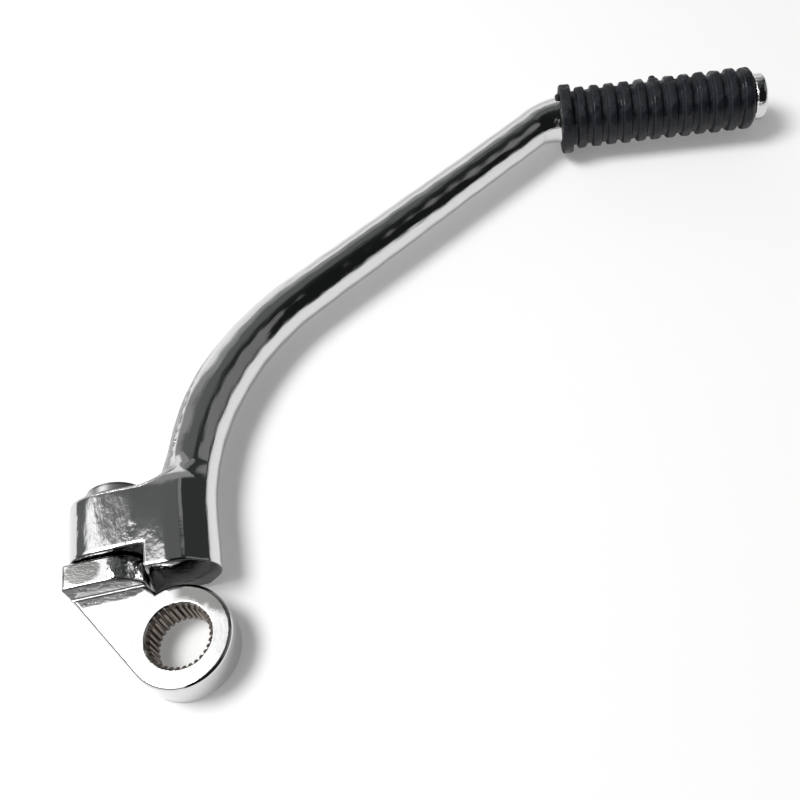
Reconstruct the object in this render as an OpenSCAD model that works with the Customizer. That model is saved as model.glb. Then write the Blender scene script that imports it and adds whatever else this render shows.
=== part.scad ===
// Folding kick start lever: a splined knuckle and a forged arm that swings on the knuckle's post
// Origin: on the spline axis at the knuckle's back face. +Z points away from the engine.
// +Y runs along the folding axis, from the knuckle to the arm, and +X to the pedal side.

/* [Spline bore] */
// Number of serrations
spline_teeth = 32; // [24:1:40]
// Diameter across the tooth tips
spline_minor_d = 15; // [13:0.1:15.6]
// Diameter across the groove bottoms
spline_major_d = 17; // [16:0.1:18]
// Share of the pitch that a groove takes at the tooth tips
groove_share = 0.52; // [0.4:0.01:0.6]
// Depth of the lead-in bevel past the groove bottoms
mouth_bevel = 0.3; // [0.1:0.05:0.6]

/* [Knuckle] */
// Thickness of the plate round the spline
hub_t = 10.5; // [9:0.1:11.5]
// Outer diameter of the ring round the spline
hub_d = 27.2; // [25:0.1:28.4]
// Rounding of the ring's two outer edges
hub_edge_r = 0.9; // [0.4:0.1:1.5]
// Distance of the plate's shoulder from the spline axis
shoulder_y = 15.4; // [15:0.1:16.4]
// Distance from the shoulder to the seat that the arm turns on
neck_h = 7.1; // [6:0.1:9]
// Diameter of the neck below the arm
neck_d = 16.4; // [15:0.1:17.4]
// Width of the stop lug, from the folding axis to its outer end
lug_w = 11.9; // [11:0.1:14]
// Depth of the stop lug behind the folding axis
lug_back = 6; // [4:0.1:7.5]
// Rounding of the stop lug's corners
lug_corner_r = 1.2; // [0.5:0.1:3]

/* [Folding axis] */
// Sideways distance of the folding axis from the spline axis
pivot_off = 15.4; // [14.6:0.1:16.4]
// Height of the folding axis above the knuckle's back face
pivot_z = 8.8; // [8.6:0.1:10]
// Diameter of the post that the arm turns on
post_d = 12; // [10:0.1:13]
// Radial clearance of the arm on the post
running_gap = 0.05; // [0.02:0.01:0.09]
// Play of the arm along the post
end_gap = 0.2; // [0.1:0.05:0.4]
// How far the arm swings out, from folded to the stop
swing = 100; // [85:1:104]

/* [Arm barrel] */
// Outer diameter of the barrel
barrel_d = 24.2; // [22:0.1:26]
// Length of the barrel along the post
barrel_h = 18.4; // [17:0.1:22]
// Distance of the barrel's flattened back from the folding axis
barrel_back = 8.4; // [7.8:0.1:8.5]
// Distance of the barrel's flattened front from the folding axis
barrel_front = 11.2; // [10:0.1:11.9]
// Sideways distance from the folding axis of the thick middle between barrel and rod
middle_off = 14.9; // [13:0.1:16]
// Diameter of the thick middle between barrel and rod
middle_d = 21.8; // [19:0.1:23]
// Rounding of the barrel's top edge
barrel_edge_r = 2; // [1:0.1:3]
// How far the stop skirt hangs below the barrel
skirt_drop = 6.6; // [5:0.1:6.8]
// Gap that the skirt keeps from the neck
neck_gap = 0.25; // [0.15:0.05:0.5]

/* [Arm rod] */
// Sideways distance of the rod's foot from the spline axis
rod_off = 4.6; // [3.4:0.1:6]
// Diameter of the rod at its foot
rod_foot_d = 14.8; // [13:0.1:15.6]
// Diameter of the rod before the pedal
rod_end_d = 12.3; // [11.4:0.1:13]
// Distance from the spline axis to where the first bend starts
bend_y = 31.1; // [26:0.1:36]
// Radius of the first bend
bend_r = 76.8; // [60:0.1:100]
// Angle of the first bend
bend_angle = 60.5; // [45:0.5:70]
// Length of the straight between the bends
straight_len = 94; // [70:0.1:110]
// Radius of the bend at the pedal
pedal_bend_r = 14; // [10:0.5:20]
// Angle of the bend at the pedal
pedal_bend_angle = 38.7; // [30:0.1:45]
// Radius of the blend between the barrel's top and the rod
crotch_r = 5.5; // [4:0.5:9]

/* [Pedal] */
// Diameter of the peg inside the rubber
peg_d = 10.4; // [9:0.1:11]
// Length of rod that shows between the last bend and the rubber
peg_shank = 0.5; // [0.4:0.1:4]
// Diameter of the shoulder that the rubber stands against
collar_d = 14.4; // [12.6:0.1:16]
// Diameter of the head that keeps the rubber on
head_d = 14.3; // [12.5:0.1:15]
// Thickness of the head
head_t = 4.2; // [3:0.1:6]

/* [Rubber grip] */
// Length of the grip
grip_len = 59.5; // [50:0.5:70]
// Diameter of the flange next to the rod
near_flange_d = 21.8; // [20.5:0.1:24]
// Diameter of the flange at the head
far_flange_d = 19.1; // [18:0.1:21]
// Diameter of the ribs next to the rod
near_rib_d = 19.3; // [17:0.1:20.4]
// Diameter of the ribs at the head
far_rib_d = 19.3; // [17:0.1:20.4]
// Number of ribs between the flanges
rib_count = 11; // [7:1:13]
// Width of each flange
flange_w = 3.4; // [2.5:0.1:4.5]
// Width of a rib at its crest
rib_w = 2.9; // [2:0.1:3.4]
// Depth of the grooves between the ribs
rib_h = 1.1; // [0.8:0.1:1.8]

/* [Detent and retainer] */
// Diameter of the detent ball
ball_d = 4.76; // [4:0.01:5]
// How far the ball stands out of the post
ball_proud = 0.5; // [0.3:0.05:0.6]
// Distance of the ball above the seat
ball_y = 7.5; // [6:0.1:12]
// Radial gap of the ball in its hole
ball_gap = 0.07; // [0.04:0.01:0.1]
// Wire diameter of the detent spring
wire_d = 0.6; // [0.4:0.05:0.7]
// Number of turns of the detent spring
spring_turns = 5; // [3:1:6]
// Outer diameter of the washer over the barrel
washer_d = 16.8; // [15:0.1:19]
// Thickness of the washer
washer_t = 1.6; // [0.8:0.1:2]
// Thickness of the retaining ring
ring_t = 1; // [0.7:0.1:1.2]
// Width of the retaining ring's band
ring_w = 2.2; // [1.4:0.1:2.6]
// Depth of the retaining ring's groove in the post
ring_groove = 0.45; // [0.3:0.05:0.6]
// Length of post that stands past the retaining ring
post_tip = 0.5; // [0.3:0.1:1.5]

/* [Hidden] */
$fn = 96;

eps = 0.01;                 // overshoot of a cut past the face that it opens
lap = 0.03;                 // step where two joined surfaces would otherwise only touch
play = 0.05;                // end play between the washer, the retaining ring and its groove
pivot_x = -pivot_off;

// Knuckle levels, along Y
seat_y = shoulder_y + neck_h;
barrel_y = seat_y + end_gap;
barrel_top_y = barrel_y + barrel_h;
washer_y = barrel_top_y + play;
ring_y = washer_y + washer_t + play;
post_top_y = ring_y + ring_t + play + post_tip;
post_bevel = 0.5;

// Knuckle plate: its outer corner and its bevelled end beside the neck
corner_x = pivot_x - lug_w;
shoulder_end_x = pivot_x + neck_d / 2 - 0.8;
hub_r = hub_d / 2;
corner_dist = norm([corner_x, shoulder_y]);
corner_dir = atan2(shoulder_y, corner_x);
tangent_dir = corner_dir + acos(hub_r / corner_dist);
notch_dir = 112;            // where the shoulder's end meets the ring, from +X

// The stop: a flat on the lug, level with the neck's front, and a matching flat on the skirt
stop_dist = neck_d / 2;
stop_gap = 0.04;            // left between the two flats at the end of the swing

// Rod: the first bend ends at heading, the pedal points along pedal_dir
heading = 90 - bend_angle;
pedal_dir = heading - pedal_bend_angle;
rod_foot_r = rod_foot_d / 2;
rod_end_r = rod_end_d / 2;
bend_mid = [rod_off + bend_r, bend_y];
bend_end = bend_mid + bend_r * [-cos(bend_angle), sin(bend_angle)];
straight_end = bend_end + straight_len * [cos(heading), sin(heading)];
pedal_mid = straight_end + pedal_bend_r * [sin(heading), -cos(heading)];
pedal_start = pedal_mid + pedal_bend_r * [-sin(pedal_dir), cos(pedal_dir)];
peg_dir = [cos(pedal_dir), sin(pedal_dir)];
grip_start = pedal_start + peg_shank * peg_dir;
collar_run = 6;             // how far back the shoulder's cone reaches into the bend

// Blend between the web's top and the rod: a circle that runs into both
web_top = barrel_top_y - 0.8;
crotch_dist = bend_r + rod_foot_r + crotch_r - 0.15;
crotch_up = web_top + crotch_r - bend_y;
crotch_mid = [bend_mid[0] - sqrt(pow(crotch_dist, 2) - pow(crotch_up, 2)), web_top + crotch_r - 0.05];

// Thick middle: it fades into the rod over the last stretch
middle_x = pivot_x + middle_off;
middle_r = middle_d / 2;
fade_len = 15;

// The arm lies at the angle at which the near flange rests level with the knuckle's back
flange_r = near_flange_d / 2;
flange_reach = norm([grip_start[0] - pivot_x, flange_r]);
lift = atan2(flange_r, grip_start[0] - pivot_x) - asin(pivot_z / flange_reach);
stop_dir = 90 - swing - lift;   // normal of the skirt's flat before the lift, in the XZ plane

// Detent: the ball's hole in the post, and a race with two pockets in the arm's bore
post_r = post_d / 2;
bore_r = post_r + running_gap;
ball_r = ball_d / 2;
ball_x = post_r + ball_proud - ball_r;
hole_r = ball_r + ball_gap;
hole_floor = -(post_r - 1.4);
race_r = post_r + ball_proud + 0.1;
race_w = 3.6;
pocket_r = race_r + 0.2;
spring_r = hole_r - wire_d / 2 - 0.15;
spring_len = ball_x - ball_r - hole_floor;

// Moves arm geometry, drawn with the pivot's Z at zero, to where the arm lies
module on_arm() {
    translate([pivot_x, 0, pivot_z]) rotate([0, -lift, 0]) translate([-pivot_x, 0, 0]) children();
}

// Stands an XZ outline up along Y, from y0 to y1
module along_y(y0, y1) {
    translate([0, y1, 0]) rotate([90, 0, 0]) linear_extrude(y1 - y0) children();
}

// A cylinder along Y from y0 to y1, centred on the folding axis
module pivot_cylinder(r, y0, y1) {
    translate([pivot_x, y1, 0]) rotate([90, 0, 0]) cylinder(r = r, h = y1 - y0);
}

// A disc whose two outer edges are rounded, as a half section for rotate_extrude
module rounded_section(r, h, edge) {
    square([r - edge, h]);
    translate([0, edge]) square([r, h - 2 * edge]);
    for (y = [edge, h - edge]) translate([r - edge, y]) circle(edge, $fn = 48);
}

// One groove of the spline, as an outline that points along +X
module groove_outline() {
    pitch = PI * spline_minor_d / spline_teeth;
    mouth = pitch * groove_share / 2;
    floor = mouth * 0.55;
    r0 = spline_minor_d / 2;
    r1 = spline_major_d / 2;
    slope = (mouth - floor) / (r1 - r0);
    inner = r0 - 0.5;
    polygon([[inner, -mouth - slope * 0.5], [r1, -floor], [r1, floor], [inner, mouth + slope * 0.5]]);
}

module spline_cut() {
    bevel_r = spline_major_d / 2 + mouth_bevel;
    bevel_h = bevel_r - spline_minor_d / 2;
    translate([0, 0, -1]) cylinder(d = spline_minor_d, h = hub_t + 2);
    for (i = [0 : spline_teeth - 1]) rotate([0, 0, i * 360 / spline_teeth])
        translate([0, 0, -1]) linear_extrude(hub_t + 2) groove_outline();
    translate([0, 0, hub_t - bevel_h]) cylinder(r1 = bevel_r - bevel_h, r2 = bevel_r + eps, h = bevel_h + eps);
}

// The plate between the ring and the neck: its outer edge is tangent to the ring
module plate_outline() {
    ring = hub_r - 0.05;
    polygon([
        [0, 0],
        ring * [cos(tangent_dir), sin(tangent_dir)],
        [corner_x, shoulder_y],
        [shoulder_end_x, shoulder_y],
        ring * [cos(notch_dir), sin(notch_dir)]
    ]);
}

// Neck and stop lug, in the XZ plane with the folding axis at zero
module neck_outline() {
    circle(d = neck_d);
    c = lug_corner_r;
    left = -lug_w;
    polygon([[0, -lug_back], [left + c, -lug_back], [left, c - lug_back], [left, stop_dist - c],
             [left + c, stop_dist], [0, stop_dist]]);
    for (z = [c - lug_back, stop_dist - c]) translate([left + c, z]) circle(c, $fn = 48);
}

module post() {
    groove_y = ring_y - play;
    difference() {
        union() {
            pivot_cylinder(post_r, seat_y - 2, post_top_y - post_bevel);
            translate([pivot_x, post_top_y - post_bevel, 0]) rotate([-90, 0, 0])
                cylinder(r1 = post_r, r2 = post_r - post_bevel, h = post_bevel);
        }
        difference() {
            pivot_cylinder(post_r + 1, groove_y, groove_y + ring_t + 2 * play);
            pivot_cylinder(post_r - ring_groove, groove_y - 1, groove_y + ring_t + 1);
        }
        translate([pivot_x + hole_floor, seat_y + ball_y, 0]) rotate([0, 90, 0])
            cylinder(r = hole_r, h = post_r - hole_floor + 1);
    }
}

module knuckle() {
    color("gainsboro") difference() {
        union() {
            rotate_extrude() rounded_section(hub_r, hub_t, hub_edge_r);
            linear_extrude(hub_t) plate_outline();
            translate([0, 0, pivot_z]) {
                along_y(shoulder_y - eps, seat_y) translate([pivot_x, 0]) neck_outline();
                post();
            }
        }
        spline_cut();
    }
}

// The two planes tangent to a pair of circles, in the XZ plane
module tangent_planes(x1, r1, x2, r2) {
    a = acos((r1 - r2) / (x2 - x1));
    polygon([
        [x1, 0] + r1 * [cos(a), sin(a)],
        [x2, 0] + r2 * [cos(a), sin(a)],
        [x2, 0] + r2 * [cos(a), -sin(a)],
        [x1, 0] + r1 * [cos(a), -sin(a)]
    ]);
}

// Section from the barrel over the thick middle to the rod's foot, less the barrel itself
module boss_outline() {
    circle_at([middle_x, 0], middle_r);
    tangent_planes(pivot_x, barrel_d / 2 - lap, middle_x, middle_r - 2 * lap);
    tangent_planes(middle_x, middle_r - 2 * lap, rod_off, rod_foot_r - 4 * lap);
}

// Turned outside of the barrel, with its rounded top edge
module barrel() {
    r = barrel_d / 2;
    translate([pivot_x, barrel_y, 0]) rotate([-90, 0, 0]) rotate_extrude() {
        square([r - barrel_edge_r, barrel_h]);
        square([r, barrel_h - barrel_edge_r]);
        translate([r - barrel_edge_r, barrel_h - barrel_edge_r]) circle(barrel_edge_r, $fn = 48);
    }
}

// Web between barrel and rod. Above it, the thick middle fades out, cut back to the rod's side.
module web() {
    along_y(barrel_y, web_top) boss_outline();
    difference() {
        translate([middle_x, web_top - 1, 0]) rotate([-90, 0, 0])
            cylinder(r1 = middle_r - lap, r2 = middle_r - 0.5 * fade_len, h = fade_len);
        translate([0, 0, -barrel_d]) linear_extrude(2 * barrel_d) difference() {
            union() {
                circle_at(crotch_mid, crotch_r);
                translate([pivot_x - barrel_d, crotch_mid[1]]) square([2 * barrel_d, 2 * fade_len]);
                translate([pivot_x - barrel_d, web_top]) square([crotch_mid[0] - pivot_x + barrel_d, fade_len]);
            }
            circle_at(bend_mid, bend_r + rod_foot_r - 0.3);
        }
    }
}

module circle_at(at, r) {
    translate(at) circle(r);
}

// Skirt beside the neck, whose flat meets the stop lug at the end of the swing
module skirt() {
    along_y(barrel_y - skirt_drop, barrel_y + 1) difference() {
        boss_outline();
        circle_at([pivot_x, 0], neck_d / 2 + neck_gap);
        translate([pivot_x, 0]) rotate(stop_dir) translate([-2 * barrel_d, -2 * barrel_d])
            square([2 * barrel_d + stop_dist + stop_gap, 4 * barrel_d]);
    }
}

// A stretch of round bar along a heading in the XY plane
module bar(from, dir, r1, r2, len) {
    translate([from[0], from[1], 0]) rotate([0, 0, dir]) rotate([0, 90, 0]) cylinder(r1 = r1, r2 = r2, h = len);
}

// A bend of round bar about mid, over an arc that starts at the angle start
module bend(mid, radius, r, start, turn) {
    translate([mid[0], mid[1], 0]) rotate([0, 0, start]) rotate_extrude(angle = turn)
        translate([radius, 0]) circle(r);
}

module rod() {
    foot_y = barrel_y - skirt_drop;
    foot_end = bend_y + 1;
    bar([rod_off, foot_y], 90, rod_foot_r - lap, rod_foot_r - lap, foot_end - foot_y);
    bend(bend_mid, bend_r, rod_foot_r, 180 - bend_angle, bend_angle);
    bar(bend_end - [cos(heading), sin(heading)], heading, rod_foot_r - lap, rod_end_r - lap, straight_len + 1.5);
    bend(pedal_mid, pedal_bend_r, rod_end_r, 90 + pedal_dir, pedal_bend_angle);
    bar(pedal_start - 0.5 * peg_dir, pedal_dir, rod_end_r - lap, rod_end_r - lap, peg_shank + 0.5);
    bar(pedal_start - collar_run * peg_dir, pedal_dir, collar_d / 2 - 2.7, collar_d / 2, collar_run + peg_shank);
}

module peg() {
    head_at = grip_start + grip_len * peg_dir;
    bar(grip_start - peg_shank * peg_dir, pedal_dir, peg_d / 2, peg_d / 2, grip_len + peg_shank + 1);
    translate([head_at[0], head_at[1], 0]) rotate([0, 0, pedal_dir]) rotate([0, 90, 0])
        rotate_extrude() rounded_section(head_d / 2, head_t, 1.4);
}

module race_cut() {
    y = seat_y + ball_y;
    pivot_cylinder(race_r, y - race_w / 2, y + race_w / 2);
    for (a = [lift, lift + swing]) translate([pivot_x, y, 0]) rotate([0, a, 0])
        translate([pocket_r - ball_r - ball_gap, 0, 0]) sphere(r = ball_r + ball_gap);
}

module arm() {
    color("silver") on_arm() difference() {
        union() {
            barrel();
            web();
            skirt();
            rod();
            peg();
        }
        pivot_cylinder(bore_r, barrel_y - 1, barrel_top_y + 1);
        race_cut();
        for (z = [-barrel_d - barrel_back, barrel_front]) translate([pivot_x - barrel_d, barrel_y - skirt_drop - 1, z])
            cube([3 * barrel_d, 2 * barrel_h + skirt_drop, barrel_d]);
    }
}

// Half section of the grip: x is the radius, y runs from the rod to the head
module grip_section() {
    pitch = (grip_len - flange_w) / (rib_count + 1);
    core0 = near_rib_d / 2 - rib_h;
    core1 = far_rib_d / 2 - rib_h;
    polygon([[peg_d / 2, 0], [core0, 0], [core1, grip_len], [peg_d / 2, grip_len]]);
    ring_section(0, flange_w, near_flange_d / 2, core0);
    ring_section(grip_len - flange_w, flange_w, far_flange_d / 2, core1);
    for (i = [1 : rib_count]) {
        share = i / (rib_count + 1);
        rib_r = (near_rib_d + (far_rib_d - near_rib_d) * share) / 2;
        ring_section(i * pitch + (flange_w - rib_w) / 2, rib_w, rib_r, rib_r - rib_h);
    }
}

// A ring of the grip: width w from y0, crest at r, with rounded shoulders
module ring_section(y0, w, r, core) {
    edge = 0.6;
    foot = core - 0.6;
    translate([foot, y0]) square([r - edge - foot, w]);
    translate([foot, y0 + edge]) square([r - foot, w - 2 * edge]);
    for (y = [y0 + edge, y0 + w - edge]) translate([r - edge, y]) circle(edge, $fn = 32);
}

module grip() {
    color("dimgray") on_arm() translate([grip_start[0], grip_start[1], 0]) rotate([0, 0, pedal_dir])
        rotate([0, 90, 0]) rotate_extrude() grip_section();
}

module detent_ball() {
    color("lightsteelblue") translate([pivot_x + ball_x, seat_y + ball_y, pivot_z]) sphere(r = ball_r);
}

// Coil spring between the hole's floor and the ball, wound by a loop along its axis
module detent_spring() {
    sides = 8;
    steps = 20;
    last = spring_turns * steps;
    rise = spring_len - 0.1 - wire_d;
    rings = [for (i = [0 : last]) let (a = 360 * i / steps)
        [for (j = [0 : sides - 1]) let (b = 360 * j / sides, r = spring_r + wire_d / 2 * cos(b))
            [wire_d / 2 + 0.05 + rise * i / last + wire_d / 2 * sin(b), r * cos(a), r * sin(a)]]];
    points = [for (ring = rings) each ring];
    sides_faces = [for (i = [0 : last - 1]) for (j = [0 : sides - 1]) let (k = (j + 1) % sides)
        [i * sides + j, (i + 1) * sides + j, (i + 1) * sides + k, i * sides + k]];
    first_cap = [[for (j = [0 : sides - 1]) j]];
    last_cap = [[for (j = [sides - 1 : -1 : 0]) last * sides + j]];
    color("darkgray") translate([pivot_x + hole_floor, seat_y + ball_y, pivot_z])
        polyhedron(points, concat(first_cap, sides_faces, last_cap));
}

module washer() {
    color("lightgray") translate([0, 0, pivot_z]) difference() {
        pivot_cylinder(washer_d / 2, washer_y, washer_y + washer_t);
        pivot_cylinder(post_r + 0.1, washer_y - 1, washer_y + washer_t + 1);
    }
}

// Open retaining ring in the post's groove, with its gap towards the back
module retaining_ring() {
    inner = post_r - ring_groove + 0.02;
    gap = 50;
    color("darkgray") translate([pivot_x, ring_y, pivot_z]) rotate([-90, 0, 0]) rotate([0, 0, 90 + gap / 2])
        rotate_extrude(angle = 360 - gap) translate([inner, 0]) square([ring_w, ring_t]);
}

knuckle();
arm();
grip();
detent_ball();
detent_spring();
washer();
retaining_ring();
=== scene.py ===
"""Folding kick start lever: dressed model of the chromed forgings and the rubber grip.

Lengths in the shape functions are in millimetres, in the part's frame, and meshes are made in metres.
The two forgings are signed distance fields, so that their blends are as smooth as a polished forging.
"""
import math

import bmesh
import bpy
import numpy as np
from mathutils import Matrix, Vector

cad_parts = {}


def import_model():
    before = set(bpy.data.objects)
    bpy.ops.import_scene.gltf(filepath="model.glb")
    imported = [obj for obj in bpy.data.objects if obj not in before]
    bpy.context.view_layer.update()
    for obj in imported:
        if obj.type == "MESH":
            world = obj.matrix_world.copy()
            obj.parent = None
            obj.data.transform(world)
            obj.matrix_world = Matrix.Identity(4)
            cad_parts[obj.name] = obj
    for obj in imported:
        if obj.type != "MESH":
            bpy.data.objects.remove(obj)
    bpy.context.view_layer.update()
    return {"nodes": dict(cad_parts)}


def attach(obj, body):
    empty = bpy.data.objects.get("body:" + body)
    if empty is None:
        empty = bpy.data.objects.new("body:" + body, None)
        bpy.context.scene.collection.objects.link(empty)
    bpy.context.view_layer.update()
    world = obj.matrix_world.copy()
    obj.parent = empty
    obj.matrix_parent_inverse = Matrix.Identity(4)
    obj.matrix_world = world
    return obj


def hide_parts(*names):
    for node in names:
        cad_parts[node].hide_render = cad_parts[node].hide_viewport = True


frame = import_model()


MM = 0.001

# Sizes that are the same in the part's source

SPLINE_TEETH = 32
SPLINE_MINOR_R = 7.5
SPLINE_MAJOR_R = 8.5
GROOVE_SHARE = 0.52
GROOVE_FLOOR_SHARE = 0.55
MOUTH_BEVEL = 0.3
HUB_T = 10.5
HUB_R = 13.6
HUB_EDGE_R = 0.9
SHOULDER_Y = 15.4
SHOULDER_INSET = 0.8
NOTCH_DIR = math.radians(112)
NECK_H = 7.1
NECK_R = 8.2
LUG_W = 11.9
LUG_BACK = 6.0
LUG_CORNER_R = 1.2
SEAT_Y = SHOULDER_Y + NECK_H

PIVOT_X = -15.4
PIVOT_Z = 8.8
POST_R = 6.0
RUNNING_GAP = 0.05
END_GAP = 0.2
SWING = 100.0
STOP_GAP = 0.04
BORE_R = POST_R + RUNNING_GAP

BARREL_R = 12.1
BARREL_H = 18.4
BARREL_BACK = 8.4
BARREL_FRONT = 11.2
MIDDLE_OFF = 14.9
MIDDLE_R = 10.9
SKIRT_DROP = 6.6
NECK_GAP = 0.25
BARREL_Y = SEAT_Y + END_GAP
BARREL_TOP = BARREL_Y + BARREL_H
MIDDLE_X = PIVOT_X + MIDDLE_OFF
FOOT_Y = BARREL_Y - SKIRT_DROP

PLAY = 0.05
WASHER_T = 1.6
RING_T = 1.0
POST_TIP = 0.5
POST_TOP = BARREL_TOP + PLAY + WASHER_T + PLAY + RING_T + PLAY + POST_TIP

ROD_X = 4.6
ROD_FOOT_R = 7.4
ROD_END_R = 6.15
BEND_Y = 31.1
BEND_R = 76.8
BEND_ANGLE = math.radians(60.5)
STRAIGHT_LEN = 94.0
PEDAL_BEND_R = 14.0
PEDAL_BEND_ANGLE = math.radians(38.7)
PEG_R = 5.2
PEG_SHANK = 0.5
COLLAR_R = 7.2
HEAD_R = 7.15
HEAD_T = 4.2
HEAD_EDGE_R = 1.4

GRIP_LEN = 59.5
NEAR_FLANGE_R = 10.9
FAR_FLANGE_R = 9.55
RIB_R = 9.65
RIB_COUNT = 11
FLANGE_W = 3.4
RIB_W = 2.9
RIB_H = 1.1

# Forms that the source has plainer, or not at all

CROTCH_R = 4.2
ROD_SINK = 10.0
BEND_TAPER, BEND_TAPER_LEAD, BEND_TAPER_RUN = 0.55, 34, 45
STRAIGHT_TAPER = 0.45
FLARE_RUN = 11
PEG_STEP_RUN = 1.2
FLASH_H, FLASH_ALONG, FLASH_RUN = 0.65, 64, 12
ROD_FOOT_EDGE_R = 1.6
BARREL_FRONT_EDGE_R = 3.0
BARREL_BACK_EDGE_R = 0.8
BARREL_BORE_EDGE_R = 0.35
BARREL_TOP_INSET = 0.2
BOSS_FOLLOWS = 40
WEB_FROM_Y, WEB_RUN = 36, 20
BOSS_SINK, BOSS_SINK_LEAD, BOSS_SINK_RUN = 4.0, 2, 16
SKIRT_SIDE_R = 0.7
BARREL_SIDE_GAIN, BARREL_SIDE_FROM_Y, BARREL_SIDE_RUN = 1.3, 28, 10
TOP_SIDE_GAIN, TOP_SIDE_LEAD, TOP_SIDE_RUN = 5.4, 3, 6
ROD_FILLET, ROD_FILLET_LEAD, ROD_FILLET_RUN = 1.6, 1, 5
BORE_END_Y = 60
SKIRT_INNER_R = 0.3
SKIRT_EDGE_R = 1.0
SEAT_EDGE_R = 0.8
LUG_EDGE_R = 0.6
NECK_FILLET_R = 0.6
POST_EDGE_R = 0.6
POST_FILLET_R = 0.3
POST_SINK = 2

POLISH_DEPTH = 0.036
POLISH_ON_BARREL = 0.3
POLISH_ROD_GAIN = 0.7
POLISH_RUN = 10
POLISH_ON_KNUCKLE = 0.15

RIB_EDGE_R = 0.75
RIB_FOOT_R = 0.35
RIB_DRAFT = 0.1
FAR_FLANGE_EDGE_R = 1.5
RUBBER_SHRINK = 0.0045

# What the fields and meshes need: a sharp edge, a far point, and steps as shares of a cell

SHARP = 0.01
FAR = 50.0
LEAST_REACH = 1e-3
LEAST_STEP = 1e-4
BLOCK_MARGIN = 1.1
SETTLE_ROUNDS = 4
SETTLE_REACH = 0.6
SETTLE_STEP = 0.05
LEAST_SLOPE = 0.1
NORMAL_STEP = 0.08
ARM_CELL = 0.5
KNUCKLE_CELL = 0.25


# The rod's centreline in the arm's plane

def turned(angle):
    return np.array([math.cos(angle), math.sin(angle)])


HEADING = math.pi / 2 - BEND_ANGLE
PEDAL_DIR = HEADING - PEDAL_BEND_ANGLE
BEND_MID = np.array([ROD_X + BEND_R, BEND_Y])
BEND_END = BEND_MID + BEND_R * turned(HEADING + math.pi / 2)
STRAIGHT_END = BEND_END + STRAIGHT_LEN * turned(HEADING)
PEDAL_MID = STRAIGHT_END + PEDAL_BEND_R * turned(HEADING - math.pi / 2)
PEDAL_START = PEDAL_MID + PEDAL_BEND_R * turned(PEDAL_DIR + math.pi / 2)
GRIP_START = PEDAL_START + PEG_SHANK * turned(PEDAL_DIR)
HEAD_START = GRIP_START + GRIP_LEN * turned(PEDAL_DIR)
FLANGE_REACH = GRIP_START[0] - PIVOT_X
LIFT = math.atan2(NEAR_FLANGE_R, FLANGE_REACH) - math.asin(PIVOT_Z / math.hypot(FLANGE_REACH, NEAR_FLANGE_R))

ON_ARM = (
    Matrix.Translation((PIVOT_X * MM, 0, PIVOT_Z * MM))
    @ Matrix.Rotation(-LIFT, 4, "Y")
    @ Matrix.Translation((-PIVOT_X * MM, 0, 0))
)
ON_GRIP = (
    ON_ARM
    @ Matrix.Translation((GRIP_START[0] * MM, GRIP_START[1] * MM, 0))
    @ Matrix.Rotation(PEDAL_DIR, 4, "Z")
    @ Matrix.Rotation(math.pi / 2, 4, "Y")
)


# Distance fields

def length(*parts):
    return np.sqrt(sum(part * part for part in parts))


def round_max(a, b, r):
    """Both, with a rounded edge of radius r where their surfaces cross."""
    return np.minimum(-r, np.maximum(a, b)) + length(np.maximum(r + a, 0), np.maximum(r + b, 0))


def round_min(a, b, r):
    """Either, with a fillet of radius r where their surfaces cross."""
    return np.maximum(r, np.minimum(a, b)) - length(np.maximum(r - a, 0), np.maximum(r - b, 0))


def ease(t):
    t = np.clip(t, 0, 1)
    return t * t * (3 - 2 * t)


def tangent_hull(x, z, r1, r2, reach):
    """Circles r1 at the origin and r2 at reach along x, with their two common tangents."""
    side = np.abs(z)
    b = (r1 - r2) / reach
    a = np.sqrt(1 - b * b)
    along = a * x - b * side
    flat = a * side + b * x - r1
    far = np.where(along > a * reach, length(x - reach, z) - r2, flat)
    return np.where(along < 0, length(x, z) - r1, far)


def polygon_field(x, y, corners):
    """Signed distance of the points x, y from a polygon."""
    nearest = np.full(x.shape, 1e9)
    inside = np.zeros(x.shape, bool)
    for (ax, ay), (bx, by) in zip(corners, corners[1:] + corners[:1]):
        ex, ey = bx - ax, by - ay
        t = np.clip(((x - ax) * ex + (y - ay) * ey) / (ex * ex + ey * ey), 0, 1)
        nearest = np.minimum(nearest, length(x - ax - t * ex, y - ay - t * ey))
        crosses = (ay > y) != (by > y)
        inside ^= crosses & (x < ax + (y - ay) * ex / (ey if ey else 1e-9))
    return np.where(inside, -nearest, nearest)


def rod_bits():
    """The centreline's lines and arcs in turn: kind, place, direction or radius, extent, length before."""
    foot = np.array([ROD_X, FOOT_Y - ROD_SINK])
    s = BEND_Y - foot[1]
    yield "line", foot, turned(math.pi / 2), s, 0.0
    yield "arc", BEND_MID, BEND_R, (HEADING + math.pi / 2, math.pi), s
    s += BEND_R * BEND_ANGLE
    yield "line", BEND_END, turned(HEADING), STRAIGHT_LEN, s
    s += STRAIGHT_LEN
    yield "arc", PEDAL_MID, PEDAL_BEND_R, (PEDAL_DIR + math.pi / 2, HEADING + math.pi / 2), s
    s += PEDAL_BEND_R * PEDAL_BEND_ANGLE
    yield "line", PEDAL_START, turned(PEDAL_DIR), PEG_SHANK + GRIP_LEN - PEG_R / 2, s


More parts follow.
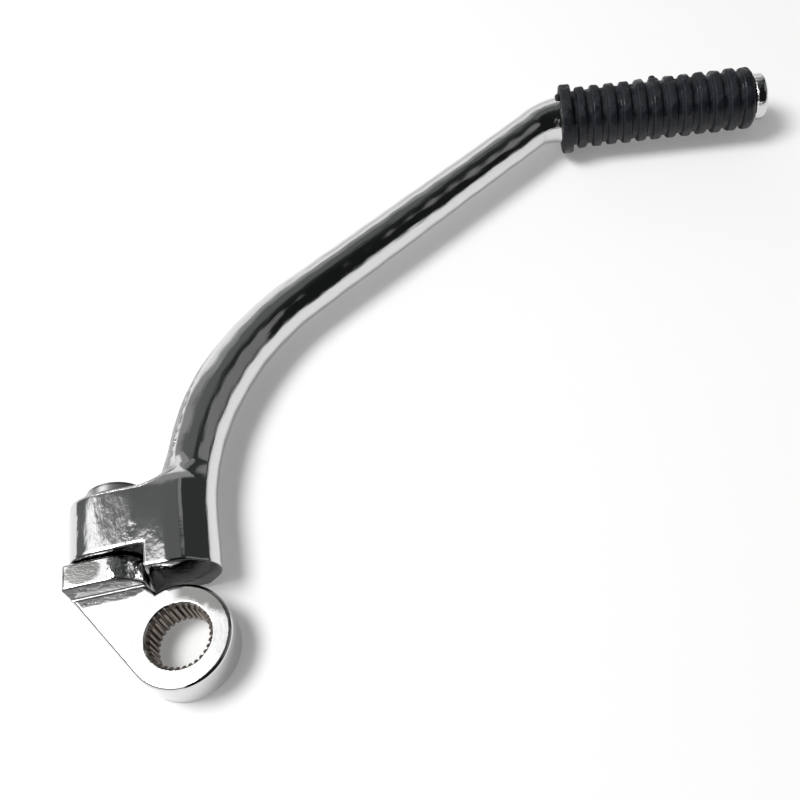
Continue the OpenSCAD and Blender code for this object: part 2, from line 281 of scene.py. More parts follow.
def rod_reach(x, y):
    """Distance from the rod's centreline within its plane, and the length along it there."""
    off = np.full(x.shape, 1e9)
    along = np.zeros(x.shape)
    for kind, at, way, extent, s in rod_bits():
        if kind == "line":
            t = np.clip((x - at[0]) * way[0] + (y - at[1]) * way[1], 0, extent)
            here = length(x - at[0] - t * way[0], y - at[1] - t * way[1])
        else:
            low, high = extent
            angle = np.arctan2(y - at[1], x - at[0])
            angle = np.clip(np.where(angle < low - math.pi / 2, angle + 2 * math.pi, angle), low, high)
            here = length(x - at[0] - way * np.cos(angle), y - at[1] - way * np.sin(angle))
            t = way * (high - angle)
        closer = here < off
        off = np.where(closer, here, off)
        along = np.where(closer, s + t, along)
    return off, along


STRAIGHT_FROM, PEDAL_FROM = [bit[4] for bit in rod_bits() if bit[0] == "line"][1:]


def rod_radius(s):
    """The rod tapers to a shoulder at the rubber, and the peg inside the rubber is thinner."""
    in_bend = ease((s - STRAIGHT_FROM + BEND_TAPER_LEAD) / BEND_TAPER_RUN)
    in_straight = ease((s - STRAIGHT_FROM) / STRAIGHT_LEN)
    taper = BEND_TAPER * in_bend + STRAIGHT_TAPER * in_straight
    r = ROD_FOOT_R + (ROD_END_R - ROD_FOOT_R) * taper
    r = r + (COLLAR_R - r) * ease((s - PEDAL_FROM - PEG_SHANK + FLARE_RUN) / FLARE_RUN)
    return r + (PEG_R - r) * ease((s - PEDAL_FROM - PEG_SHANK) / PEG_STEP_RUN)


def polish_waves(x, y, z):
    """Hand polishing leaves shallow waves."""
    broad = np.sin(0.31 * x + 0.22 * y + 0.4 * z + 1.3) + np.sin(0.17 * x - 0.36 * y + 0.3 * z)
    short = 0.7 * np.sin(0.62 * x + 0.41 * y - 0.5 * z + 0.4)
    shorter = 0.5 * np.sin(-0.55 * x + 0.71 * y + 0.6 * z + 2.0)
    return POLISH_DEPTH * (broad + (short + shorter))


def rod_field(x, y, z):
    """The bent rod, with a slight flash left on the outside of its bend."""
    off, along = rod_reach(x, y)
    outside = length(x - BEND_MID[0], y - BEND_MID[1]) - BEND_R
    flash = FLASH_H * np.exp(-((along - FLASH_ALONG) / FLASH_RUN) ** 2) * ease(outside / ROD_FOOT_R)
    rod = length(off, z) - rod_radius(along) - flash
    return round_max(rod, FOOT_Y - y, ROD_FOOT_EDGE_R)


def boss_hull(x, y, z):
    """Barrel, thick middle and rod foot as one rounded mass, which sinks into the rod above the barrel."""
    rod_x = BEND_MID[0] - np.sqrt(BEND_R ** 2 - np.clip(y - BEND_Y, 0, BOSS_FOLLOWS) ** 2)
    into_rod = ease((y - WEB_FROM_Y) / WEB_RUN)
    middle_x = MIDDLE_X + (rod_x - MIDDLE_X) * into_rod
    middle_r = MIDDLE_R + (ROD_FOOT_R - MIDDLE_R) * into_rod
    barrel_side = tangent_hull(x - PIVOT_X, z, BARREL_R, middle_r, middle_x - PIVOT_X)
    to_rod = np.maximum(rod_x - middle_x, LEAST_REACH)
    rod_side = tangent_hull(x - middle_x, z, middle_r, ROD_FOOT_R - LEAST_STEP, to_rod)
    hull = round_max(np.minimum(barrel_side, rod_side), z - BARREL_FRONT, BARREL_FRONT_EDGE_R)
    return hull + BOSS_SINK * ease((y - BARREL_TOP + BOSS_SINK_LEAD) / BOSS_SINK_RUN)


def boss_ends(x, y, z):
    """What bounds the boss along y: the crotch above, and the stop skirt with its flat below."""
    in_bend = length(x - BEND_MID[0], y - BEND_MID[1]) - BEND_R
    rod_left = np.where(y > BEND_Y, in_bend, ROD_X - x) - ROD_FOOT_R
    above = round_min(y - BARREL_TOP + BARREL_TOP_INSET, rod_left, CROTCH_R)
    stop = math.radians(90 - SWING) - LIFT
    flat = NECK_R + STOP_GAP - ((x - PIVOT_X) * math.cos(stop) + z * math.sin(stop))
    below = round_min(BARREL_Y - y, flat, SKIRT_INNER_R)
    below = round_max(below, FOOT_Y - y, SKIRT_EDGE_R)
    return np.maximum(above, below)


def boss_edge_r(y):
    """The boss's edges are sharpest at the skirt and softest where it runs into the rod."""
    at_barrel = ease((y - BARREL_SIDE_FROM_Y) / BARREL_SIDE_RUN)
    at_top = ease((y - BARREL_TOP + TOP_SIDE_LEAD) / TOP_SIDE_RUN)
    return SKIRT_SIDE_R + BARREL_SIDE_GAIN * at_barrel + TOP_SIDE_GAIN * at_top


def arm_field(x, y, z):
    """The forged arm, in the arm's own plane."""
    px = x - PIVOT_X
    boss = round_max(boss_hull(x, y, z), boss_ends(x, y, z), boss_edge_r(y))
    fillet = SHARP + ROD_FILLET * ease((y - BARREL_TOP + ROD_FILLET_LEAD) / ROD_FILLET_RUN)
    body = round_min(rod_field(x, y, z), boss, fillet)
    neck_room = np.maximum(length(px, z) - NECK_R - NECK_GAP, y - BARREL_Y)
    body = np.maximum(body, -neck_room)
    bore = np.where(y < BORE_END_Y, length(px, z) - BORE_R, FAR)
    body = round_max(body, -bore, BARREL_BORE_EDGE_R)
    body = round_max(body, -BARREL_BACK - z, BARREL_BACK_EDGE_R)
    polish_gain = POLISH_ROD_GAIN * ease((y - BARREL_TOP) / POLISH_RUN)
    polish = polish_waves(x, y, z) * (POLISH_ON_BARREL + polish_gain)
    return np.minimum(body + polish, head_field(x, y, z))


def head_field(x, y, z):
    ux, uy = turned(PEDAL_DIR)
    t = (x - HEAD_START[0]) * ux + (y - HEAD_START[1]) * uy
    across = (y - HEAD_START[1]) * ux - (x - HEAD_START[0]) * uy
    slab = np.abs(t - HEAD_T / 2) - HEAD_T / 2
    return round_max(length(across, z) - HEAD_R, slab, HEAD_EDGE_R)


def groove_field(x, y):
    pitch = 2 * math.pi / SPLINE_TEETH
    angle = np.arctan2(y, x)
    angle = angle - pitch * np.round(angle / pitch)
    r = length(x, y)
    u, v = r * np.cos(angle), np.abs(r * np.sin(angle))
    mouth = math.pi * SPLINE_MINOR_R / SPLINE_TEETH * GROOVE_SHARE
    floor = mouth * GROOVE_FLOOR_SHARE
    slope = (mouth - floor) / (SPLINE_MAJOR_R - SPLINE_MINOR_R)
    wall = (v - floor - slope * (SPLINE_MAJOR_R - u)) / math.hypot(1, slope)
    return np.maximum(wall, u - SPLINE_MAJOR_R)


def spline_bore_field(x, y, z):
    r = length(x, y)
    bore = np.minimum(r - SPLINE_MINOR_R, groove_field(x, y))
    bevel = SPLINE_MAJOR_R + MOUTH_BEVEL
    front = (r - bevel + (HUB_T - z)) / math.sqrt(2)
    back = (r - bevel + z) / math.sqrt(2)
    return np.minimum(bore, np.minimum(front, back))


def plate_corners():
    """From the hub's middle to its tangent point, the lug's corner, the shoulder's end and the notch."""
    corner = (PIVOT_X - LUG_W, SHOULDER_Y)
    away = math.atan2(corner[1], corner[0]) + math.acos(HUB_R / math.hypot(*corner))
    return [
        (0, 0),
        tuple(HUB_R * turned(away)),
        corner,
        (PIVOT_X + NECK_R - SHOULDER_INSET, SHOULDER_Y),
        tuple(HUB_R * turned(NOTCH_DIR)),
    ]


PLATE = plate_corners()


def neck_field(x, y, z):
    """Neck and stop lug, from the shoulder to the seat."""
    px, pz = x - PIVOT_X, z - PIVOT_Z
    lug_x = np.abs(px + LUG_W / 2) - LUG_W / 2
    lug_z = np.abs(pz - (NECK_R - LUG_BACK) / 2) - (NECK_R + LUG_BACK) / 2
    corner = np.where(px < -LUG_W / 2, LUG_CORNER_R, SHARP)
    neck = np.minimum(length(px, pz) - NECK_R, round_max(lug_x, lug_z, corner))
    neck = round_max(neck, y - SEAT_Y, SEAT_EDGE_R)
    return round_max(neck, SHOULDER_Y - y, np.where(z < HUB_T, SHARP, LUG_EDGE_R))


def knuckle_field(x, y, z):
    slab = np.abs(z - HUB_T / 2) - HUB_T / 2
    flat = np.minimum(length(x, y) - HUB_R, polygon_field(x, y, PLATE))
    body = round_max(flat, slab, HUB_EDGE_R)
    body = round_min(body, neck_field(x, y, z), NECK_FILLET_R)
    post = round_max(length(x - PIVOT_X, z - PIVOT_Z) - POST_R, y - POST_TOP, POST_EDGE_R)
    post = np.maximum(post, SHOULDER_Y + POST_SINK - y)
    body = round_min(body, post, POST_FILLET_R)
    polish = POLISH_ON_KNUCKLE * polish_waves(x, y, z)
    return np.maximum(body, -spline_bore_field(x, y, z)) + polish


# Meshes

def grid_corners(count):
    i, j, k = np.meshgrid(*[np.arange(count)] * 3, indexing="ij")
    return np.stack([i.ravel(), j.ravel(), k.ravel()], 1)


CELL_CORNERS = grid_corners(2)
NEXT_CORNER = (4, 2, 1)


def crossed_cells(field, low, counts, cell, block):
    """The cells that field == 0 passes through: their index, and the field at their eight corners."""
    blocks = np.stack(np.meshgrid(*[np.arange(n) for n in counts], indexing="ij"), -1).reshape(-1, 3)
    middle = low + (blocks + 0.5) * cell * block
    blocks = blocks[np.abs(field(*middle.T)) < cell * block * BLOCK_MARGIN]
    side = block + 1
    nodes = (blocks[:, None, :] * block + grid_corners(side)[None]).astype(np.int64)
    values = field(*(low + nodes.reshape(-1, 3) * cell).T).reshape(len(blocks), side, side, side)
    nodes = nodes.reshape(len(blocks), side, side, side, 3)
    corners = [values[:, a:a + block, b:b + block, c:c + block] for a, b, c in CELL_CORNERS]
    values = np.stack(corners, -1)
    negative = values < 0
    crossed = negative.any(-1) & ~negative.all(-1)
    return nodes[:, :block, :block, :block][crossed], values[crossed]


def edge_middles(values):
    """The mean of the places where a cell's edges cross the surface, in cells from its low corner."""
    total = np.zeros((len(values), 3))
    hits = np.zeros(len(values))
    for a in range(8):
        for axis in range(3):
            if CELL_CORNERS[a][axis]:
                continue
            b = a + NEXT_CORNER[axis]
            cut = (values[:, a] < 0) != (values[:, b] < 0)
            t = np.where(cut, values[:, a] / np.where(cut, values[:, a] - values[:, b], 1), 0)
            total += np.where(cut[:, None], CELL_CORNERS[a] + t[:, None] * np.eye(3)[axis], 0)
            hits += cut
    return total / hits[:, None]


def net_surface(field, low, high, cell, block=8):
    """Quads over field == 0: one vertex in each crossed cell, then drawn onto the surface."""
    low, high = np.array(low, float), np.array(high, float)
    counts = np.ceil((high - low) / (cell * block)).astype(int)
    index, values = crossed_cells(field, low, counts, cell, block)
    points = low + (index + edge_middles(values)) * cell
    size = counts * block + 2
    keys = (index[:, 0] * size[1] + index[:, 1]) * size[2] + index[:, 2]
    order = np.argsort(keys)
    keys, points, values = keys[order], points[order], values[order]
    quads = []
    steps = np.array([size[1] * size[2], size[2], 1])
    for axis in range(3):
        cut = (values[:, 0] < 0) != (values[:, NEXT_CORNER[axis]] < 0)
        one, two = steps[(axis + 1) % 3], steps[(axis + 2) % 3]
        base = keys[cut]
        ring = np.stack([base, base - one, base - one - two, base - two], 1)
        found = np.searchsorted(keys, ring)
        outward = values[cut, 0] < 0
        quads.append(np.where(outward[:, None], found, found[:, ::-1]))
    return settle(field, points, cell), np.concatenate(quads)


def slopes(field, points, step):
    out = np.empty_like(points)
    for axis in range(3):
        move = np.zeros(3)
        move[axis] = step
        out[:, axis] = (field(*(points + move).T) - field(*(points - move).T)) / (2 * step)
    return out


def settle(field, points, cell):
    """Moves the points down the field's slope onto its surface, and never far from where they start."""
    start = points.copy()
    reach = cell * SETTLE_REACH
    for _ in range(SETTLE_ROUNDS):
        slope = slopes(field, points, cell * SETTLE_STEP)
        value = field(*points.T)
        points = points - slope * (value / np.maximum((slope ** 2).sum(1), LEAST_SLOPE))[:, None]
        points = start + np.clip(points - start, -reach, reach)
    return points


def make_mesh(name, points, faces, matrix, normals=None):
    mesh = bpy.data.meshes.new(name)
    mesh.from_pydata((np.array(points) * MM).tolist(), [], np.array(faces).tolist())
    mesh.update()
    piece = bpy.data.objects.new(name, mesh)
    bpy.context.scene.collection.objects.link(piece)
    mesh.shade_smooth()
    if normals is not None:
        mesh.normals_split_custom_set_from_vertices(normals.tolist())
    mesh.transform(matrix)
    return piece


def field_piece(name, field, box, cell, matrix):
    points, quads = net_surface(field, *box, cell)
    normals = slopes(field, points, cell * NORMAL_STEP)
    normals /= np.maximum(length(*normals.T), 1e-6)[:, None]
    return make_mesh(name, points, quads, matrix, normals)


def revolved(profile, steps=144):
    """Turns the profile, a closed loop of (radius, height) points, about Z."""
    profile = np.array(profile)
    count = len(profile)
    angle = np.arange(steps) * 2 * math.pi / steps
    r, h = profile[:, 0], profile[:, 1]
    points = np.stack([
        r[None] * np.cos(angle)[:, None],
        r[None] * np.sin(angle)[:, None],
        np.broadcast_to(h, (steps, count)),
    ], -1).reshape(-1, 3)
    faces = []
    for i in range(steps):
        for j in range(count):
            a, b = i * count, ((i + 1) % steps) * count
            k = (j + 1) % count
            faces.append((a + j, b + j, b + k, a + k))
    return points, faces


def arc_points(centre, r, start, end, count=7):
    return [
        (centre[0] + r * math.cos(a), centre[1] + r * math.sin(a))
        for a in np.radians(np.linspace(start, end, count))
    ]


def groove_foot(core, at, side):
    """The rounded foot of a groove: side is -1 where it rises to the next ring and 1 where it leaves one."""
    quarter = [(math.cos(a), math.sin(a)) for a in np.radians(np.linspace(0, 90, 4))]
    if side < 0:
        return [(core + RIB_FOOT_R - RIB_FOOT_R * c, at - RIB_FOOT_R + RIB_FOOT_R * s) for c, s in quarter]
    return [(core + RIB_FOOT_R - RIB_FOOT_R * s, at + RIB_FOOT_R - RIB_FOOT_R * c) for c, s in quarter]


def grip_rings():
    """Start, width and radius of the near flange, the ribs and the far flange."""
    pitch = (GRIP_LEN - FLANGE_W) / (RIB_COUNT + 1)
    inset = (FLANGE_W - RIB_W) / 2
    ribs = [(i * pitch + inset, RIB_W, RIB_R) for i in range(1, RIB_COUNT + 1)]
    return [(0.0, FLANGE_W, NEAR_FLANGE_R), *ribs, (GRIP_LEN - FLANGE_W, FLANGE_W, FAR_FLANGE_R)]


def grip_profile():
    """The grip's section, from the rod to the head: two flanges and the ribs between them."""
    rings = grip_rings()
    last = len(rings) - 1
    core = RIB_R - RIB_H
    outline = [(PEG_R, 0.0)]
    for n, (start, width, r) in enumerate(rings):
        end = start + width
        if n > 0:
            outline += groove_foot(core, start, -1)
            outline.append((r - RIB_EDGE_R - RIB_DRAFT, start))
        outline += arc_points((r - RIB_EDGE_R, start + RIB_EDGE_R), RIB_EDGE_R, -90, 0)
        far_edge = RIB_EDGE_R if n < last else FAR_FLANGE_EDGE_R
        outline += arc_points((r - far_edge, end - far_edge), far_edge, 0, 90)
        if n < last:
            outline += groove_foot(core, end, 1)
    outline.append((PEG_R, GRIP_LEN))
    return outline


def uneven(points):
    """Soft rubber comes out of its mould a little thin in places."""
    x, y, z = np.array(points).T
    wave = np.sin(1.1 * x + 0.7 * z + 0.5) + np.sin(1.3 * y - 0.9 * z) + np.sin(0.8 * x - 1.2 * y + 1.7 * z)
    outer = length(x, y) > PEG_R + 1
    share = 1 - RUBBER_SHRINK * (wave + 3) * outer
    return np.stack([x * share, y * share, z], -1)


def mould_lump(name, along, angle, r, half_sizes):
    """A small lump that the mould left on the rubber, at a distance along the grip and round it."""
    ball = bmesh.new()
    bmesh.ops.create_icosphere(ball, subdivisions=3, radius=1.0)
    turn = Matrix.Rotation(math.radians(angle), 3, "Z")
    middle = Vector((r, 0, along))
    points = []
    for vert in ball.verts:
        stretched = Vector(vert.co[i] * half_sizes[i] for i in range(3))
        points.append(tuple(turn @ (middle + stretched)))
    faces = [tuple(vert.index for vert in face.verts) for face in ball.faces]
    ball.free()
    return make_mesh(name, points, faces, ON_GRIP)


# Shader maths

class Sock:
    """A socket with arithmetic, so that a material reads as a formula."""

    def __init__(self, tree, socket):
        self.tree = tree
        self.socket = socket

    def math(self, operation, *others):
        return self.tree.node("ShaderNodeMath", [self, *others], operation=operation)

    def vector(self, operation, *others, out=0):
        return self.tree.node("ShaderNodeVectorMath", [self, *others], out, operation=operation)

    def __add__(self, other):
        return self.math("ADD", other)

    def __sub__(self, other):
        return self.math("SUBTRACT", other)

    def __rsub__(self, other):
        return self.tree.node("ShaderNodeMath", [other, self], operation="SUBTRACT")

    def __mul__(self, other):
        return self.math("MULTIPLY", other)

    def __neg__(self):
        return self.math("MULTIPLY", -1.0)

    def __or__(self, other):
        """The larger of the two."""
        return self.math("MAXIMUM", other)

    __radd__ = __add__
    __rmul__ = __mul__

    def ramp(self, edge, width, first, last):
        ends = {"From Min": edge, "From Max": edge + width, "To Min": first, "To Max": last}
        return self.tree.node("ShaderNodeMapRange", {"Value": self, **ends}, interpolation_type="SMOOTHSTEP")

    def above(self, edge, width):
        """0 below edge, 1 above edge + width."""
        return self.ramp(edge, width, 0.0, 1.0)

    def below(self, edge, width):
        """1 below edge, 0 above edge + width."""
        return self.ramp(edge, width, 1.0, 0.0)

    def axes(self):
        split = self.tree.node("ShaderNodeSeparateXYZ", [self]).socket.node
        return [Sock(self.tree, out) for out in split.outputs]


class Tree:
    """The node tree of a material or of the world."""

    def __init__(self, owner):
        owner.use_nodes = True
        self.nodes = owner.node_tree.nodes
        self.links = owner.node_tree.links
        self.nodes.clear()

    def node(self, kind, inputs=(), out=0, **settings):
        made = self.nodes.new(kind)
        for key, value in settings.items():
            setattr(made, key, value)
        pairs = inputs.items() if isinstance(inputs, dict) else enumerate(inputs)
        for key, value in pairs:
            target = made.inputs[key]
            if isinstance(value, Sock):
                self.links.new(value.socket, target)
            else:
                target.default_value = value
        return Sock(self, made.outputs[out]) if made.outputs else made

    def point(self):
        """The place on the piece, in millimetres."""
        return self.node("ShaderNodeTexCoord", out="Object").vector("MULTIPLY", (1000, 1000, 1000))

    def facing(self):
        """The way the surface faces, along the piece's three axes."""
        return self.node("ShaderNodeTexCoord", out="Normal").axes()

    def noise(self, where, size, detail):
        """A noise whose features are about size across."""
        return self.node("ShaderNodeTexNoise", {"Vector": where, "Scale": 1 / size, "Detail": detail})

    def spot(self, where, centre, reach):
        """How far a point is from centre, as a share of reach along each axis."""
        apart = where.vector("SUBTRACT", centre)
        return apart.vector("DIVIDE", reach).vector("LENGTH", out=1)

    def blend(self, share, first, second):
        return self.node("ShaderNodeMix", {0: share, 6: first, 7: second}, 2, data_type="RGBA")

    def bump(self, height, depth, under=None):
        inputs = {"Height": height, "Strength": 1.0, "Distance": depth * MM}
        if under is not None:
            inputs["Normal"] = under
        return self.node("ShaderNodeBump", inputs)


# Materials

def grey(level):
    return (level, level, level, 1)


BRIGHT_CHROME = grey(0.68)
RAW_CHROME = grey(0.36)
# Painted shade for the skirt's underside
PAINTED_SHADE_CHROME = grey(0.10)
# Painted shade for the face under the lug
SHADED_RECESS_CHROME = grey(0.12)
WORN_CHROME = (0.17, 0.17, 0.165, 1)
OILED_STEEL = (0.34, 0.30, 0.27, 1)
BLACK_RUBBER = (0.004, 0.005, 0.008, 1)
GREYED_RUBBER = (0.010, 0.011, 0.015, 1)
FLAT = (1, 1, 0)

# Places on the plating: a patch has its centre and its reach along each axis

SCRATCHED_FRONT = (-15, 31, 20), (8.0, 11, 6)
OVAL_ON_LUG = (-21.8, 19.0, 17.2), (4.9, 3.3, 3.0)
CRUMPLED_NECK = (-11.0, 19.0, 16.0), (4.5, 4.5, 5)
SPECKLED_PLATE = (-12.0, 1.0, 10.5), (4, 3.5, 2)
BAND_R = BEND_R + 3.0
HEAD_SIDE_X = 187


def material(name):
    made = bpy.data.materials.new(name)
    return made, Tree(made)


def finish_material(tree, **inputs):
    named = {key.replace("_", " ").title().replace("Ior", "IOR"): value for key, value in inputs.items()}
    surface = tree.node("ShaderNodeBsdfPrincipled", named)
    tree.node("ShaderNodeOutputMaterial", {"Surface": surface})


def ragged_edge(tree, where, size):
    """A noise about zero that breaks up the edge of a patch."""
    return tree.noise(where, size, 3.0) * 2.4 - 1.2


def rod_streaks(tree, where, bend_out):
    """Fine polishing lines that run along the rod, round its bend and on down the straight."""
    side = turned(HEADING + math.pi / 2)
    ahead = turned(HEADING)
    from_bend = where.vector("SUBTRACT", (BEND_END[0], BEND_END[1], 0))
    straight_out = from_bend.vector("DOT_PRODUCT", (side[0], side[1], 0), out=1) + BEND_R
    straight = from_bend.vector("DOT_PRODUCT", (ahead[0], ahead[1], 0), out=1).above(-0.5, 1.0)
    out = straight_out * straight + bend_out * (1 - straight)
    x, y, z = where.axes()
    return tree.noise(tree.node("ShaderNodeCombineXYZ", [out, (x + y) * 0.035, z]), 0.6, 4.0)


def arm_chrome():
    """Plated forging: fine polish, a rough band along the parting line, a scratched barrel front, and painted
    shade on the skirt's underside.
    """
    made, tree = material("arm_chrome")
    where = tree.point()
    x, y, z = where.axes()
    bend_out = where.vector("SUBTRACT", (BEND_MID[0], BEND_MID[1], 0)).vector("MULTIPLY", FLAT)
    bend_out = bend_out.vector("LENGTH", out=1)
    ragged = ragged_edge(tree, where, 2.5)
    facing_y = tree.facing()[1]

    # Where each finish lies, and where shade is painted
    across_band = bend_out - (y - 41) * 0.055 + ragged
    band = across_band.above(BAND_R, 1.2) * y.above(40, 3) * y.below(84, 10) * z.above(9.6, 1.0)
    top = facing_y.above(0.30, 0.15) * x.below(2, 4) * y.above(36, 2) * y.below(50, 4)
    # Painted shade: the skirt's underside, which faces the floor, is coloured near black; it also gets faint
    # dents
    under = (-facing_y).above(0.45, 0.25) * y.below(23, 1)
    head = x.above(HEAD_SIDE_X, 1)
    raw = band | top
    patch = tree.spot(where, *SCRATCHED_FRONT) + ragged * 0.15
    patch = patch.below(0.75, 0.35)

    # What stands out of the surface
    grain = tree.noise(where, 0.8, 4.0)
    scratches = tree.noise(where.vector("MULTIPLY", (1, 0.28, 1)), 1.5, 5.0)
    dents = tree.noise(where, 2.4, 3.0)
    ripple = tree.noise(where, 1.6, 3.0)
    bump = tree.bump(grain * raw, 0.45)
    bump = tree.bump(scratches * patch, 0.10, bump)
    bump = tree.bump(dents * (head | under * 0.25), 0.35, bump)
    bump = tree.bump(rod_streaks(tree, where, bend_out) * y.above(45, 12), 0.05, bump)
    bump = tree.bump(ripple, 0.014, bump)

    colour = tree.blend(raw, BRIGHT_CHROME, RAW_CHROME)
    # Painted shade on the skirt's underside
    colour = tree.blend(under, colour, PAINTED_SHADE_CHROME)
    rough = tree.noise(where, 3.0, 5.0) * 0.08 + raw * 0.20 + patch * 0.05 + 0.03
    finish_material(tree, base_color=colour, metallic=1.0, roughness=rough, normal=bump)
    return made


def knuckle_chrome():
    """Plated knuckle: white polished face, rough patches, darkened serrations, and painted shade under the
    lug.
    """
    made, tree = material("knuckle_chrome")
    where = tree.point()
    x, y, z = where.axes()
    facing_y = tree.facing()[1]
    ragged = ragged_edge(tree, where, 2.2)

    # Where each finish lies, and where shade is painted
    oval = (tree.spot(where, *OVAL_ON_LUG) + ragged * 0.12).below(0.8, 0.3)
    arc = (x * 0.5 + y * 0.86 + ragged * 1.3).above(7.4, 2.6) * z.above(9.0, 0.3) * x.above(-2, 4)
    # Painted shade: the face under the lug, towards the hub plate, is coloured near black; it is also rough
    # and crumpled
    shaded_recess = (-facing_y).above(0.4, 0.2) * z.above(10.6, 0.3) * y.above(14.0, 0.5) * y.below(16.8, 0.6)
    neck = (tree.spot(where, *CRUMPLED_NECK) + ragged * 0.12).below(0.75, 0.3)
    worn = oval | arc * 0.9
    from_axis = where.vector("MULTIPLY", FLAT).vector("LENGTH", out=1)
    deep = z.below(9.9, 0.5) * from_axis.below(8.7, 0.2)
    speckled = tree.spot(where, *SPECKLED_PLATE).below(0.6, 0.4)
    specks = tree.noise(where, 0.55, 2.0).above(0.60, 0.05) * speckled

    # What stands out of the surface
    grain = tree.noise(where, 0.38, 4.0)
    crumple = tree.noise(where.vector("MULTIPLY", (1, 0.5, 1)), 1.6, 4.0)
    ripple = tree.noise(where, 1.2, 4.0)
    bump = tree.bump(grain * (oval | shaded_recess | arc * 0.15), 0.03)
    bump = tree.bump(crumple * (neck | shaded_recess), 0.32, bump)
    bump = tree.bump(ripple, 0.010, bump)

    colour = tree.blend(worn | specks * 0.6, BRIGHT_CHROME, WORN_CHROME)
    # Painted shade under the lug
    colour = tree.blend(shaded_recess, colour, SHADED_RECESS_CHROME)
    colour = tree.blend(deep, colour, OILED_STEEL)
    rough = tree.noise(where, 3.0, 5.0) * 0.08 + oval * 0.10 + deep * 0.35 + shaded_recess * 0.2 + 0.04
    finish_material(tree, base_color=colour, metallic=1.0, roughness=rough, normal=bump)
    return made


def rubber():
    """Moulded rubber: dull and grainy, with glossy specks and a smoother underside."""
    made, tree = material("black_rubber")
    where = tree.point()
    grain = tree.noise(where, 1.2, 5.0)
    gloss = tree.noise(where.vector("MULTIPLY", (1, 1, 0.4)), 3.5, 3.0).above(0.50, 0.10)
    underside = (-tree.facing()[1]).above(0.55, 0.25)
    colour = tree.blend(tree.noise(where, 5.0, 3.0), BLACK_RUBBER, GREYED_RUBBER)
    rough = grain * 0.2 + 0.60 - (gloss | underside) * 0.36
    finish_material(tree, base_color=colour, roughness=rough, ior=1.36, normal=tree.bump(grain, 0.18))
    return made


def steel(name, level):
    made, tree = material(name)
    finish_material(tree, base_color=grey(level), metallic=1.0, roughness=0.3)
    return made


ARM_CHROME = arm_chrome()
KNUCKLE_CHROME = knuckle_chrome()
RUBBER = rubber()
STEEL = steel("washer_steel", 0.5)
SPRING_STEEL = steel("spring_steel", 0.22)


def dress(piece, made, body, slot, *stands_for):
    piece.data.materials.clear()
    piece.data.materials.append(made)
    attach(piece, body)
    if stands_for:
        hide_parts(*stands_for)


# The pieces, each meshed inside a box in millimetres

ARM_BOX = (-29, 14, -13), (206, 157, 13)
KNUCKLE_BOX = (-29, -15, -1), (15, 46, 19)

arm_piece = field_piece("lever_arm", arm_field, ARM_BOX, ARM_CELL, ON_ARM)
dress(arm_piece, ARM_CHROME, "arm_body", "arm_chrome", "arm")

knuckle_piece = field_piece("splined_knuckle", knuckle_field, KNUCKLE_BOX, KNUCKLE_CELL, Matrix.Identity(4))
dress(knuckle_piece, KNUCKLE_CHROME, "knuckle_body", "knuckle_chrome", "knuckle")

grip_points, grip_faces = revolved(grip_profile())
grip_piece = make_mesh("pedal_grip", uneven(grip_points), grip_faces, ON_GRIP)
dress(grip_piece, RUBBER, "arm_body", "grip_rubber", "grip")
gate_lump = mould_lump("gate_lump", along=29.5, angle=135, r=9.35, half_sizes=(0.95, 1.3, 1.1))
dress(gate_lump, RUBBER, "arm_body", "grip_rubber")
mouth_lump = mould_lump("mouth_lump", along=-0.5, angle=158, r=7.6, half_sizes=(0.9, 1.5, 1.0))
dress(mouth_lump, RUBBER, "arm_body", "grip_rubber")

KEPT_SOLIDS = {
    "washer": STEEL,
    "retaining_ring": SPRING_STEEL,
    "detent_ball": STEEL,
    "detent_spring": SPRING_STEEL,
}
for name, made in KEPT_SOLIDS.items():
    slots = frame["nodes"][name].data.materials
    slots.clear()
    slots.append(made)


# Floor, light and camera, in metres

FLOOR_HALF = 3.0
FLOOR_DROP = 0.0004
FLOOR_WHITE = 0.20
CLOTH = (0.86, 0.86, 0.855, 1)
WHITE = grey(1)

SENSOR_WIDTH = 36
LENS = 45
CAMERA_PLACE = (0.06830505, -0.09651222, 0.24010459)
CAMERA_RIGHT = Vector((0.97671, -0.17377, -0.12589))
CAMERA_UP = Vector((0.21431, 0.81898, 0.53229))


def floor():
    """Pale cloth that keeps the lever's shadow and is partly plain white to the camera and to the chrome."""
    made, tree = material("pale_cloth")
    cloth = tree.node("ShaderNodeBsdfPrincipled", {"Base Color": CLOTH, "Roughness": 0.9})
    white = tree.node("ShaderNodeEmission", {"Color": WHITE, "Strength": 1.0})
    rays = ("Is Camera Ray", "Is Glossy Ray", "Is Transmission Ray")
    seen = [tree.node("ShaderNodeLightPath", out=ray) for ray in rays]
    share = (seen[0] | seen[1] | seen[2]) * FLOOR_WHITE
    both = tree.node("ShaderNodeMixShader", {0: share, 1: cloth, 2: white})
    tree.node("ShaderNodeOutputMaterial", {"Surface": both})
    mesh = bpy.data.meshes.new("floor")
    s = FLOOR_HALF
    mesh.from_pydata([(-s, -s, 0), (s, -s, 0), (s, s, 0), (-s, s, 0)], [], [(0, 1, 2, 3)])
    piece = bpy.data.objects.new("floor", mesh)
    piece.location.z = -FLOOR_DROP
    mesh.materials.append(made)
    bpy.context.scene.collection.objects.link(piece)


def lamp(name, place, aim, size, power):
    data = bpy.data.lights.new(name, "AREA")
    data.shape = "DISK"
    data.size = size
    data.energy = power
    piece = bpy.data.objects.new(name, data)
    piece.location = place
    piece.rotation_mode = "QUATERNION"
    piece.rotation_quaternion = (Vector(aim) - Vector(place)).to_track_quat("-Z", "Y")
    bpy.context.scene.collection.objects.link(piece)


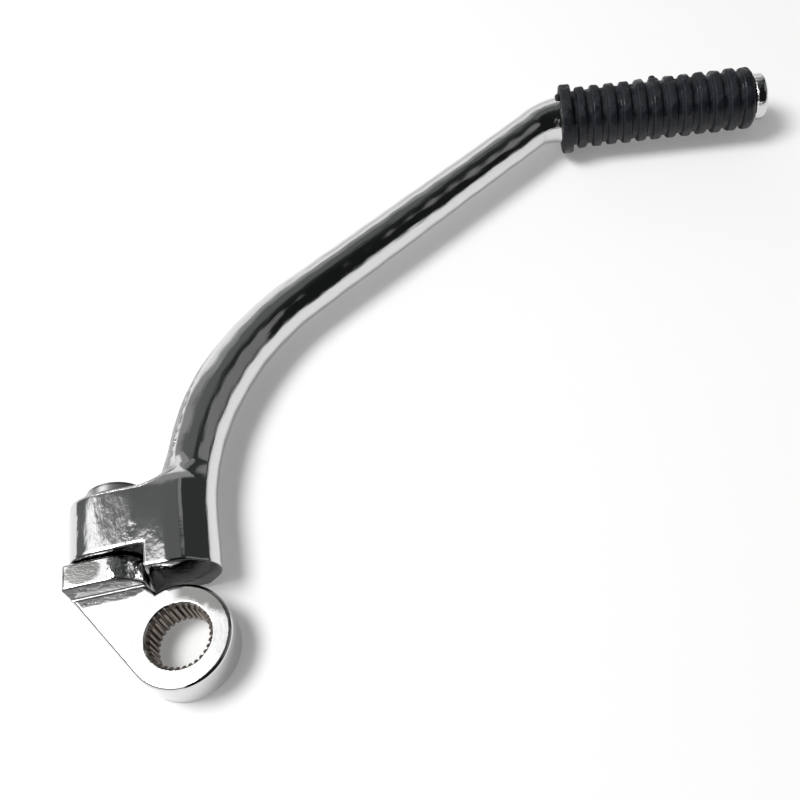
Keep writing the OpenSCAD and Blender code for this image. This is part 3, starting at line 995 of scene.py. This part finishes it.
def world():
    """A dark room with a window on the left, the same to every ray: z is up, y leads away from the camera."""
    made = bpy.data.worlds.new("room")
    bpy.context.scene.world = made
    tree = Tree(made)
    way = tree.node("ShaderNodeTexCoord", out="Generated")
    wobble = tree.node("ShaderNodeTexNoise", {"Vector": way, "Scale": 3.0, "Detail": 3.0}, 1)
    way = way.vector("ADD", wobble.vector("SUBTRACT", (0.5, 0.5, 0.5)).vector("MULTIPLY", (0.1, 0.1, 0.1)))
    x, y, z = way.axes()

    window_edge = x + (y - 0.43).math("MAXIMUM", 0.0) * 3.5
    window = window_edge.below(-0.23, 0.05) * (z.above(0.6, 0.08) * 1.3 + 0.10)
    low_left = x.below(-0.25, 0.07) * z.below(0.2, 0.1) * 1.05
    wall_foot = y.above(0.72, 0.12) * z.below(0.55, 0.10) * (0.95 - z.below(0.24, 0.06) * 0.28)
    wall = y.above(0.54, 0.10) * z.below(0.82, 0.08) * 0.28
    horizon = z.below(0.03, 0.06) * 0.45
    shelf = x.above(0.29, 0.05) * x.below(0.43, 0.06) * y.above(0.44, 0.04) * 0.20
    door = x.above(0.55, 0.07) * y.above(-0.38, 0.08) * y.below(0.28, 0.08) * z.above(0.14, 0.06) * 0.19
    haze = x.below(0.26, 0.12) * y.above(0.05, 0.15) * z.above(0.6, 0.1) * 0.09
    light = window | low_left | wall_foot | wall | horizon | shelf | door | haze
    gloom = y.above(-0.35, 0.9) * 0.03 + 0.012
    colour = tree.node("ShaderNodeCombineXYZ", [light + gloom * 0.88, light + gloom, light + gloom * 0.93])
    shade = tree.node("ShaderNodeBackground", {"Color": colour, "Strength": 1.0})
    tree.node("ShaderNodeOutputWorld", {"Surface": shade})


def camera():
    data = bpy.data.cameras.new("camera")
    data.sensor_width = SENSOR_WIDTH
    data.lens = LENS
    data.dof.use_dof = False
    piece = bpy.data.objects.new("camera", data)
    back = CAMERA_RIGHT.cross(CAMERA_UP)
    turn = Matrix((CAMERA_RIGHT, CAMERA_UP, back)).transposed().to_4x4()
    piece.matrix_world = Matrix.Translation(CAMERA_PLACE) @ turn
    bpy.context.scene.collection.objects.link(piece)
    bpy.context.scene.camera = piece


floor()
world()
lamp("window", place=(-0.46, 0.16, 1.05), aim=(0.06, 0.06, 0), size=0.5, power=13.0)
camera()
bpy.context.scene.view_settings.view_transform = "Standard"
